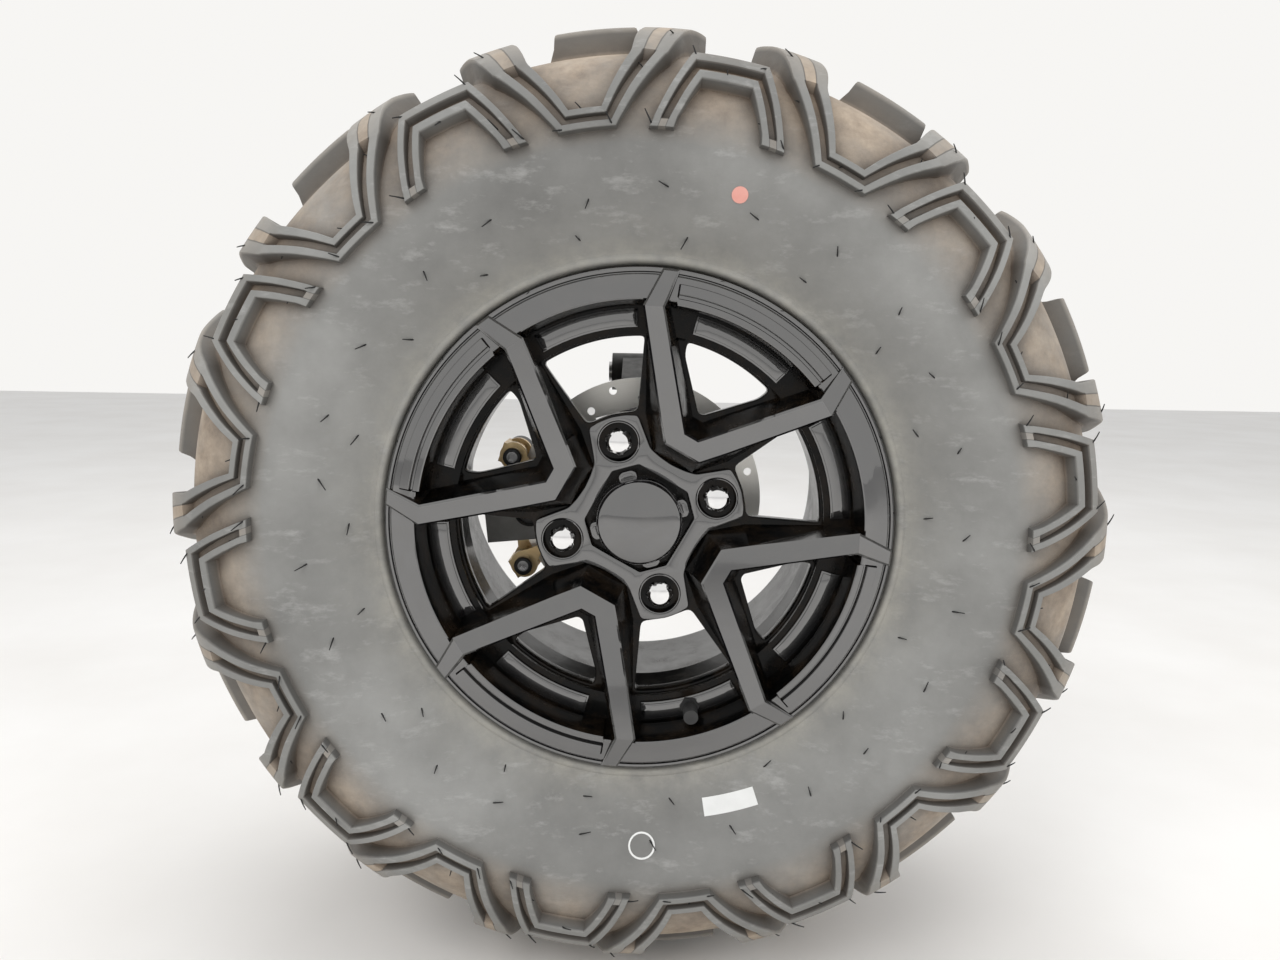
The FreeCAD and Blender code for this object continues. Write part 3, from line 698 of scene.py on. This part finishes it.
def rounded(points, radius, steps):
    """A closed outline with its corners rounded."""
    line = []
    for i, here in enumerate(points):
        here = Vector(here)
        before, after = Vector(points[i - 1]), Vector(points[(i + 1) % len(points)])
        back, on = (before - here), (after - here)
        reach = min(radius, 0.45 * back.length, 0.45 * on.length)
        start, stop = here + back.normalized() * reach, here + on.normalized() * reach
        for k in range(steps + 1):
            t = k / steps
            line.append(tuple(start * (1 - t) ** 2 + here * 2 * t * (1 - t) + stop * t * t))
    return line


def grow(points, distance):
    """Moves each edge of a counter-clockwise outline outwards by a distance."""
    grown = []
    for i, here in enumerate(points):
        normals = []
        for start, end in ((points[i - 1], here), (here, points[(i + 1) % len(points)])):
            length = math.hypot(end[0] - start[0], end[1] - start[1])
            normals.append(((end[1] - start[1]) / length, (start[0] - end[0]) / length))
        (ax, az), (bx, bz) = normals
        share = distance / (1 + ax * bx + az * bz)
        grown.append((here[0] + (ax + bx) * share, here[1] + (az + bz) * share))
    return grown


def finish_mesh(obj, angle=30.0):
    """Merges doubled points, turns faces outwards and marks the edges over an angle as sharp."""
    mesh = obj.data
    work = bmesh.new()
    work.from_mesh(mesh)
    bmesh.ops.remove_doubles(work, verts=work.verts, dist=1e-6)
    bmesh.ops.recalc_face_normals(work, faces=work.faces)
    work.to_mesh(mesh)
    work.free()
    mesh.set_sharp_from_angle(angle=math.radians(angle))
    return obj


def lathe(name, profile, body, slot, material, count, x=0.0, z=0.0, closed=False):
    """Turns a profile of (y, r) points about the axle's direction."""
    verts, faces = [], []
    rings = []
    for y, r in profile:
        if r < 1e-6:
            rings.append([len(verts)])
            verts.append(place(x, y, z))
            continue
        rings.append(list(range(len(verts), len(verts) + count)))
        for k in range(count):
            a = 2 * math.pi * k / count
            verts.append(place(x + r * math.cos(a), y, z + r * math.sin(a)))
    pairs = list(zip(rings, rings[1:])) + ([(rings[-1], rings[0])] if closed else [])
    for one, two in pairs:
        for k in range(count):
            j = (k + 1) % count
            if len(one) == 1 and len(two) > 1:
                faces.append((one[0], two[k], two[j]))
            elif len(two) == 1 and len(one) > 1:
                faces.append((one[k], one[j], two[0]))
            elif len(one) > 1:
                faces.append((one[k], one[j], two[j], two[k]))
    return finish_mesh(new_object(name, verts, faces, body, slot, material))


# The fill that leaves holes open, in Blender's own numbering
INSIDE_WITH_HOLES = 2


def plate(name, outlines, front, back, bevel, body, slot, material):
    """A flat plate between two levels from an outline and its holes, with rounded edges."""
    levels = [(front, bevel), (front + 0.3 * bevel, 0.3 * bevel), (front + bevel, 0.0),
              (back - bevel, 0.0), (back - 0.3 * bevel, 0.3 * bevel), (back, bevel)]
    verts, faces, loops = [], [], []
    for y, inset in levels:
        for i, outline in enumerate(outlines):
            verts += [place(x, y, z) for x, z in grow(outline, inset if i else -inset)]
    per = sum(len(outline) for outline in outlines)
    last = per * (len(levels) - 1)
    start = 0
    for outline in outlines:
        loop = list(range(start, start + len(outline)))
        for a, b in zip(loop, loop[1:] + loop[:1]):
            faces += [(a + i, b + i, b + i + per, a + i + per) for i in range(0, last, per)]
        loops.append(loop)
        start += len(outline)
    for first in (0, last):
        flat = [Vector((v.x, v.z)) for v in verts[first:first + per]]
        filled = delaunay_2d_cdt(flat, [], loops, INSIDE_WITH_HOLES, 1e-7)
        faces += [tuple(first + filled[3][i][0] for i in face) for face in filled[2]]
    return finish_mesh(new_object(name, verts, faces, body, slot, material))


def join(name, objects):
    """Makes one piece of several that ride together."""
    keep = objects[0]
    with bpy.context.temp_override(active_object=keep, object=keep, selected_objects=objects,
                                   selected_editable_objects=objects):
        bpy.ops.object.join()
    keep.name = name
    return keep


# A face whose normal has less than this share along the axle counts as a wall
WALL_LIMIT = 0.5


def paint_wall_shade(obj, deepest):
    """Gives walls, and faces behind a depth, a darker and duller copy of the black paint: painted shade, with
    painted weaker reflection.
    """
    obj.data.materials.append(MATERIALS["wall"])
    for face in obj.data.polygons:
        if abs(face.normal.y) < WALL_LIMIT or face.center.y > deepest * MM + AXLE_Y:
            face.material_index = 1


# Rim

# Levels along the axle
LIP_Y = -110.0
LEDGE_Y = -84.0
PAD_Y = -81.0
DISH_Y = -78.0
RECESS_Y = -74.0
SEAT_Y = -66.0
BASE_Y = -60.0
MOUNT_Y = -55.0
# Radii
LEDGE_R = 126.0
WINDOW_R = 124.5
HUB_BACK_R = 64.0
WELL_CIRCLE = 55.0
DISH_BORE_R = 42.0
BORE_R = 24.0
WELL_R = 13.5
STUD_HOLE_R = 6.5
# Half the angle of a bay, which is the part of the lip inside a V, and the angle over which it ends
BAY_HALF = 20.5
BAY_END = 0.4

# Wall and lip from the ledge outwards, as (y, r): inside a V, and between two of them
BAY_LIP = [(-84, 144.4), (-85, 144.5), (-113.2, 144.8), (-114.4, 145.2), (-114.9, 146.0), (-114.5, 149.3),
           (-113.9, 149.7), (-111.4, 149.8), (-111.2, 152.2), (-113.5, 152.3), (-113.9, 152.8),
           (-113.1, 158.5), (-111.9, 158.9), (-111.3, 162.7)]
PLAIN_LIP = [(-84, 144.4), (-85, 144.6), (-112.4, 147.0), (-113.5, 147.3), (-114.1, 148.0), (-113.7, 149.6),
             (-113.4, 150.6), (-113.1, 151.8), (-112.9, 152.6), (-112.7, 153.6), (-112.4, 154.8),
             (-112.0, 157), (-111.8, 158.5), (-111.2, 162.7)]
# The rest of the section, over the flanges and bead seats and back through the inside
SECTION = [(-110.8, 163.3), (-109.6, 163.7), (-109.4, 164.3), (-110.3, 165.0), (-110.5, 166.3),
           (-109.8, 167.5), (-108.2, 168.0), (-104, 168), (-102.5, 167.6), (-101.6, 166.5), (-101.6, 156),
           (-100.8, 153.2), (-98, 152.4), (-84, 152.4), (-80, 151), (-77, 146), (-76, 134), (-73, 131),
           (-42, 131), (-38, 134), (-32, 150), (-28, 152.4), (98, 152.4), (100.8, 153.2), (101.6, 156),
           (101.6, 166.5), (102.6, 167.8), (105, 168), (106.4, 167), (106.6, 165), (106.6, 150), (105, 148),
           (100, 147.4), (-26, 147.4), (-30, 146), (-35, 129), (-38, 126), (-84, 126)]


def rim_barrel():
    """The barrel, with its lip, ledge, flanges and bead seats."""
    angles = []
    for k in range(SPOKES):
        middle = spoke_angle(k)
        angles += [(middle + a, 1.0) for a in range(-20, 21, 2)]
        angles += [(middle + sign * (BAY_HALF + extra), factor) for sign in (-1, 1)
                   for extra, factor in ((0.0, 1.0), (BAY_END, 0.0))]
        angles += [(middle + 45 + a, 0.0) for a in range(-22, 23, 2)]
    angles.sort()
    verts, faces = [], []
    for degrees, bay in angles:
        lip = [(a + (c - a) * bay, b + (d - b) * bay) for (a, b), (c, d) in zip(PLAIN_LIP, BAY_LIP)]
        verts += [at(r, degrees, y) for y, r in lip + SECTION]
    n = len(BAY_LIP) + len(SECTION)
    count = len(angles)
    for k in range(count):
        a, b = k * n, ((k + 1) % count) * n
        for j in range(n):
            faces.append((a + j, a + (j + 1) % n, b + (j + 1) % n, b + j))
    return finish_mesh(new_object("rim_barrel", verts, faces, *PAINT), 22.0)


# One side of a V's top face and of its foot, from the hub to the lip and back
V_TOP = [(56.7, -12.6), (70.5, -24.3), (125.7, -68.6), (151.0, -69.2), (154.4, -61.5), (130.7, -58.6),
         (67.5, -5.3)]
V_FOOT = [(43.0, -15.0), (64.0, -33.3), (127.0, -69.0), (135.8, -62.2), (138.8, -55.2), (134.0, -52.0),
          (80.0, -4.0)]
# The top face's level at its apex and at its kink, and which of its corners lie on the lip
APEX_X = V_TOP[0][0]
APEX_Y = -106.0
KINK_X = V_TOP[2][0]
KINK_Y = -119.0
V_TIPS = (3, 4, 9, 10)
# Flat faces of the top, as corner numbers: the V and its two tips
V_FACES = [(0, 1, 2, 5, 6, 7, 8, 11, 12, 13), (2, 3, 4, 5), (8, 9, 10, 11)]
# The bevel's steps outwards and down
V_BEVEL = (1.3, 0.35, 0.0)


def v_height(i, x):
    if i in V_TIPS:
        return LIP_Y - 1.6
    return APEX_Y + (KINK_Y - APEX_Y) * (x - APEX_X) / (KINK_X - APEX_X)


def rim_spokes():
    """Four V spokes with flat faces, bevelled edges and facets that run on to the lip."""
    top = V_TOP + [(x, -z) for x, z in reversed(V_TOP)]
    foot = V_FOOT + [(x, -z) for x, z in reversed(V_FOOT)]
    heights = [v_height(i, x) for i, (x, z) in enumerate(top)]
    levels = [[(x, LIP_Y + 4 if i in V_TIPS else DISH_Y + 3, z) for i, (x, z) in enumerate(foot)]]
    for step in V_BEVEL:
        levels.append([(x, y + step, z) for (x, z), y in zip(grow(top, step), heights)])
    verts, faces = [], []
    n = len(top)
    for k in range(SPOKES):
        first = len(verts)
        for level in levels:
            for x, y, z in level:
                x, z = turned([(x, z)], spoke_angle(k))[0]
                verts.append(place(x, y, z))
        for i in range(len(levels) - 1):
            for j in range(n):
                a, b = first + i * n + j, first + i * n + (j + 1) % n
                if (verts[a] - verts[b + n]).length < (verts[b] - verts[a + n]).length:
                    faces += [(a, b, b + n), (a, b + n, a + n)]
                else:
                    faces += [(b, b + n, a + n), (a, b, a + n)]
        last = first + (len(levels) - 1) * n
        for flat in V_FACES:
            faces.append(tuple(last + i for i in flat))
            faces.append(tuple(first + i for i in reversed(flat)))
    return finish_mesh(new_object("rim_spokes", verts, faces, *PAINT), 8.0)


def star_outline(out=0.0):
    """The hub's pad: a lobe at each nut and a shallow scallop between."""
    line = []
    for k in range(SPOKES):
        lobe = [(45 + out, -20 - out), (69 + out, -17.5 - out), (71.5 + out, -9), (72.4 + out, 0),
                (71.5 + out, 9), (69 + out, 17.5 + out), (45 + out, 20 + out)]
        scallop = [(38 + out, 24.6 + out), (30.7 + out, 30.7 + out), (24.6 + out, 38 + out)]
        line += turned(lobe + scallop, nut_angle(k))
    return rounded(line, 2.5, 3)


def octagon():
    """The recess round the cap: long sides between the nuts and short ones beside them."""
    line = []
    for k in range(SPOKES):
        line += turned([(36.4, -9.5), (36.4, 9.5)], nut_angle(k))
    return rounded(line, 1.0, 2)


def wells(r):
    """A circle round each nut."""
    return [circle(r, *polar(WELL_CIRCLE, nut_angle(k))) for k in range(SPOKES)]


def rim_hub():
    """The nut pad with its recess, the plates behind it, and a raised ring round each well."""
    outlines = [star_outline(), octagon()] + wells(WELL_R + 0.6)
    face = plate("hub_face", outlines, PAD_Y, RECESS_Y, 0.7, *PAINT)
    outlines = [star_outline(1.2), circle(BORE_R)] + wells(WELL_R)
    base = plate("hub_base", outlines, RECESS_Y - 0.5, BASE_Y, 0.5, *PAINT)
    outlines = [circle(HUB_BACK_R, count=96), circle(BORE_R)] + wells(STUD_HOLE_R)
    back = plate("hub_back", outlines, SEAT_Y, MOUNT_Y, 0.5, *PAINT)
    line = [(SEAT_Y - 0.2, WELL_R + 0.9), (PAD_Y - 0.5, WELL_R + 0.9), (PAD_Y - 0.8, WELL_R + 0.5),
            (PAD_Y - 0.5, WELL_R - 0.1), (SEAT_Y - 0.2, WELL_R - 0.3)]
    rings = []
    for k in range(SPOKES):
        x, z = polar(WELL_CIRCLE, nut_angle(k))
        rings.append(lathe(f"well_ring_{k}", line, *PAINT, 48, x, z, closed=True))
    return join("rim_hub", [face, base, back] + rings)


def rim_dish():
    """The plate behind the spokes, with a window in each V and between each two."""
    outlines = [circle(LEDGE_R + 3.0, count=144), circle(DISH_BORE_R)]
    between = [polar(74.0, 14.0), polar(74.0, 0.0), polar(74.0, -14.0)] + arc(WINDOW_R, -16.5, 16.5)
    inside = [(83.0, 2.0), (83.0, -2.0), (112.0, -29.5)] + arc(WINDOW_R, -15.0, 15.0) + [(112.0, 29.5)]
    for k in range(SPOKES):
        outlines.append(turned(rounded(between, 4.0, 3), nut_angle(k)))
        outlines.append(turned(rounded(inside, 4.0, 3), spoke_angle(k)))
    return plate("rim_dish", outlines, DISH_Y, SEAT_Y, 1.5, *PAINT)


# The pads on the ledge and the steps on them: outer and inner radius, half-angle, front, back and bevel
PADS = [("ledge_pad", 143.0, 130.2, 14.5, LEDGE_Y - 1.8, LEDGE_Y + 1.0, 0.6),
        ("ledge_inset", 141.6, 131.6, 13.9, LEDGE_Y - 2.4, LEDGE_Y - 1.0, 0.5)]


def ledge_pads():
    pads = []
    for k in range(2 * SPOKES):
        middle = SPOKE_PHASE + k * 45.0
        for name, outer, inner, half, front, back, bevel in PADS:
            outline = arc(outer, middle - half, middle + half) + arc(inner, middle + half, middle - half)
            pads.append(plate(f"{name}_{k}", [outline], front, back, bevel, *PAINT))
    return join("ledge_pads", pads)


def rim():
    """All of the rim: the barrel stands in for the node, and the other pieces ride with it."""
    barrel = rim_barrel()
    # Walls and recessed faces of each piece take the painted-shade copy of the paint
    paint_wall_shade(barrel, LEDGE_Y - 0.9)
    paint_wall_shade(rim_spokes(), LEDGE_Y)
    paint_wall_shade(rim_hub(), PAD_Y + 3.0)
    paint_wall_shade(rim_dish(), LIP_Y)
    paint_wall_shade(ledge_pads(), LEDGE_Y - 0.9)
    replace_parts(barrel, "alloy_rim")


# Cap and nuts

# The dome's level at its shoulder, the radius there, and its rise to the middle
DOME_Y = -98.0
DOME_R = 25.8
DOME_RISE = 4.2
# The cap's tabs and the lids on them: outline, corner radius, front, back and bevel
TABS = [("cap_tab", [(28.0, -6.2), (32.4, -6.2), (34.4, -3.4), (34.4, 3.4), (32.4, 6.2), (28.0, 6.2)], 1.2,
         PAD_Y - 3.0, RECESS_Y, 0.8),
        ("cap_lid", [(30.0, -3.6), (32.0, -3.6), (33.0, -2.4), (33.0, 2.4), (32.0, 3.6), (30.0, 3.6)], 0.8,
         PAD_Y - 3.8, PAD_Y - 2.0, 0.5)]


def rim_cap():
    """A domed cup over the axle's nut, and a tab in each corner of the recess."""
    line = [(RECESS_Y + 0.4, 29.6), (-92.0, 29.3), (-95.6, 28.7), (-97.2, 27.5), (DOME_Y, DOME_R)]
    line += [(DOME_Y - DOME_RISE * (1 - (r / DOME_R) ** 2), r) for r in (23, 19, 15, 11, 7, 3, 0)]
    parts = [lathe("cap_dome", line, *PLASTIC, 96)]
    for k in range(SPOKES):
        for name, outline, corner, front, back, bevel in TABS:
            outline = turned(rounded(outline, corner, 3), nut_angle(k))
            parts.append(plate(f"{name}_{k}", [outline], front, back, bevel, *PLASTIC))
    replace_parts(join("cap_detailed", parts), "centre_cap")


# Width across a lug nut's flats, and the level where its round flange ends
NUT_ACROSS = 17.0
NUT_FLANGE_Y = -69.2
# Along a lug nut, from its seat outwards: level and largest radius, which cuts the hexagon
NUT_LINE = [(-66.1, 8.0), (-66.3, 10.4), (-67.0, 10.9), (-68.6, 10.9), (-69.1, 10.5), (-69.3, 9.9),
            (-80.6, 9.9), (-82.2, 8.9), (-83.4, 7.8), (-84.3, 6.4), (-84.8, 4.0), (-85.0, 0.0)]


def lug_nut(name, x, z, spin):
    """A closed nut: a round flange, and flats from there to its cones."""
    count = 72
    verts, faces = [], []
    for y, limit in NUT_LINE:
        for k in range(count):
            a = 2 * math.pi * k / count
            flat = NUT_ACROSS / 2 / math.cos((a + math.radians(spin)) % (math.pi / 3) - math.pi / 6)
            r = limit if y > NUT_FLANGE_Y else min(limit, flat)
            verts.append(place(x + r * math.cos(a), y, z + r * math.sin(a)))
    for i in range(len(NUT_LINE) - 1):
        for k in range(count):
            a, b = i * count + k, i * count + (k + 1) % count
            faces.append((a, b, b + count, a + count))
    return finish_mesh(new_object(name, verts, faces, WHEEL, "chrome", MATERIALS["chrome"]), 18.0)


def lug_nuts():
    for k in range(SPOKES):
        x, z = polar(WELL_CIRCLE, nut_angle(k))
        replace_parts(lug_nut(f"nut_chrome_{k + 1}", x, z, 20.0 + 17.0 * k), f"lug_nut_{k + 1}")


# Caliper bolts

# Radius and angles of the two bolts
EAR_R = 102.0
EAR_ANGLES = (161.2, 209.8)


def bolt_rings():
    """The black rim of each socket head, round its bright hexagon."""
    head = (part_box("bracket_bolts")[0][1] - AXLE_Y) / MM
    line = [(head, 4.1), (head - 0.5, 4.5), (head - 0.5, 6.2), (head + 0.2, 6.9), (head + 3.0, 6.9),
            (head + 3.0, 4.1)]
    rings = []
    for k, degrees in enumerate(EAR_ANGLES):
        x, z = polar(EAR_R, degrees)
        rings.append(lathe(f"bolt_ring_{k}", line, KNUCKLE, "black_steel", MATERIALS["bolt"], 40, x, z,
                           closed=True))
    join("bolt_rings", rings)


# Small things on the tyre

# A whisker's radius at its root, and how deep it is rooted, in metres
HAIR_R = 0.00062
HAIR_ROOT = 0.0006


def hair(verts, faces, root, towards, droop, length):
    """A thin moulding whisker that bends over towards its tip."""
    sides, steps = 5, 3
    first = len(verts)
    axis = towards.normalized()
    u = axis.orthogonal().normalized()
    w = axis.cross(u)
    for i in range(steps + 1):
        t = i / steps
        centre = root + (axis * t + droop * t * t) * length
        r = HAIR_R * (1.0 - 0.45 * t)
        for k in range(sides):
            a = 2 * math.pi * k / sides
            verts.append(centre + (u * math.cos(a) + w * math.sin(a)) * r)
    for i in range(steps):
        for k in range(sides):
            a, b = first + i * sides + k, first + i * sides + (k + 1) % sides
            faces.append((a, b, b + sides, a + sides))
    faces.append(tuple(first + k for k in reversed(range(sides))))
    faces.append(tuple(first + steps * sides + k for k in range(sides)))


# Rings of whiskers on the side: count, stray in degrees, least and greatest radius
HAIR_RINGS = [(25, 2, 206, 214), (18, 3, 184, 190)]


def whiskers():
    """Rubber whiskers at the lugs' corners and in rings on the side, as a new tyre has."""
    verts, faces = [], []
    low, inner_low = arc_at_radius(247), arc_at_radius(256)
    spots = [(-3.4, low, 1.0), (3.4, low, 1.0), (0.0, inner_low, 0.3), (-8.2, arc_at_radius(278), 0.35),
             (8.2, arc_at_radius(278), 0.35), (-11.0, arc_at_distance(100), 1.0),
             (11.0, arc_at_distance(100), 1.0)]
    half = 180.0 / PITCHES
    spots += [(half - 4.2, arc_at_radius(286), 1.0), (half + 4.2, arc_at_radius(286), 1.0),
              (half, arc_at_radius(274), 0.8), (half - 9.2, arc_at_radius(247), 1.0),
              (half + 9.2, arc_at_radius(247), 1.0), (half - 6.3, arc_at_radius(258), 0.4)]
    for side in (-1, 1):
        shift = 0.0 if side < 0 else half
        places = [(PITCH_PHASE + shift + k * 2 * half + d, v, lift)
                  for k in range(PITCHES) for d, v, lift in spots]
        for count, stray, low_r, high_r in HAIR_RINGS:
            for k in range(count):
                degrees = k * (360.0 / count) + random.uniform(-stray, stray)
                places.append((degrees, arc_at_radius(random.uniform(low_r, high_r)), 0.0))
        for degrees, v, lift in places:
            root = skin(degrees, v, lift, side)
            out = (skin(degrees, v, lift + 0.3, side) - root).normalized()
            lean = skin(degrees + random.uniform(0.4, 2.0), v + random.uniform(-5, 9), lift, side) - root
            lean = lean.normalized()
            length = random.uniform(4.0, 7.0) * MM
            hair(verts, faces, root - out * HAIR_ROOT, out * 0.45 + lean * 0.55, lean * 0.45, length)
    new_object("tyre_whiskers", verts, faces, WHEEL, "tyre", MATERIALS["whisker"])


# Height of a patch's top and of its underside over the tyre's body
PATCH_LEVELS = (0.33, -0.15)


def side_patch(name, degrees, radius, wide, high, tilt, material, ring=None):
    """A thin patch laid on the outboard side: oblong, or round with a hole of ring times its width."""
    verts, faces = [], []
    v0 = arc_at_radius(radius)
    nu, nv = 24, 8
    c, s = math.cos(math.radians(tilt)), math.sin(math.radians(tilt))
    rows = []
    for i in range(nv + 1):
        for j in range(nu + 1):
            if ring is None:
                u, w = wide * (j / nu - 0.5), high * (i / nv - 0.5)
            else:
                a = 2 * math.pi * j / nu
                r = wide / 2 * (ring + (1 - ring) * i / nv)
                u, w = r * math.cos(a), r * math.sin(a)
            u, w = u * c - w * s, u * s + w * c
            rows.append((degrees + math.degrees(u / radius), v0 + w))
    for lift in PATCH_LEVELS:
        for d, v in rows:
            y, r, h, ny, nr = along(v)
            verts.append(at(r + nr * lift, d, -(y + ny * lift)))
    top = (nu + 1) * (nv + 1)
    for i in range(nv):
        for j in range(nu):
            a = i * (nu + 1) + j
            faces.append((a, a + 1, a + nu + 2, a + nu + 1))
            faces.append((top + a + nu + 1, top + a + nu + 2, top + a + 1, top + a))
    edge = list(range(nu + 1)) + [i * (nu + 1) + nu for i in range(1, nv + 1)]
    edge += [nv * (nu + 1) + j for j in reversed(range(nu))]
    edge += [i * (nu + 1) for i in reversed(range(1, nv))]
    if ring is None:
        for a, b in zip(edge, edge[1:] + edge[:1]):
            faces.append((a, a + top, b + top, b))
    else:
        for j in range(nu):
            for row in (0, nv * (nu + 1)):
                a, b = row + j, row + j + 1
                faces.append((a, a + top, b + top, b))
    return finish_mesh(new_object(name, verts, faces, WHEEL, "tyre", material), 40.0)


def tyre_marks():
    side_patch("sticker_blank", 289.0, 196.0, 36.0, 12.0, 4.0, MATERIALS["sticker"])
    side_patch("stamp_ring", 271.4, 214.0, 18.0, 18.0, 0.0, MATERIALS["sticker"], 0.86)
    side_patch("paint_dot", 74.6, 216.0, 10.0, 10.0, 0.0, MATERIALS["paint_dot"], 0.02)


tyre()
rim()
rim_cap()
lug_nuts()
bolt_rings()
whiskers()
tyre_marks()
finish_nodes()
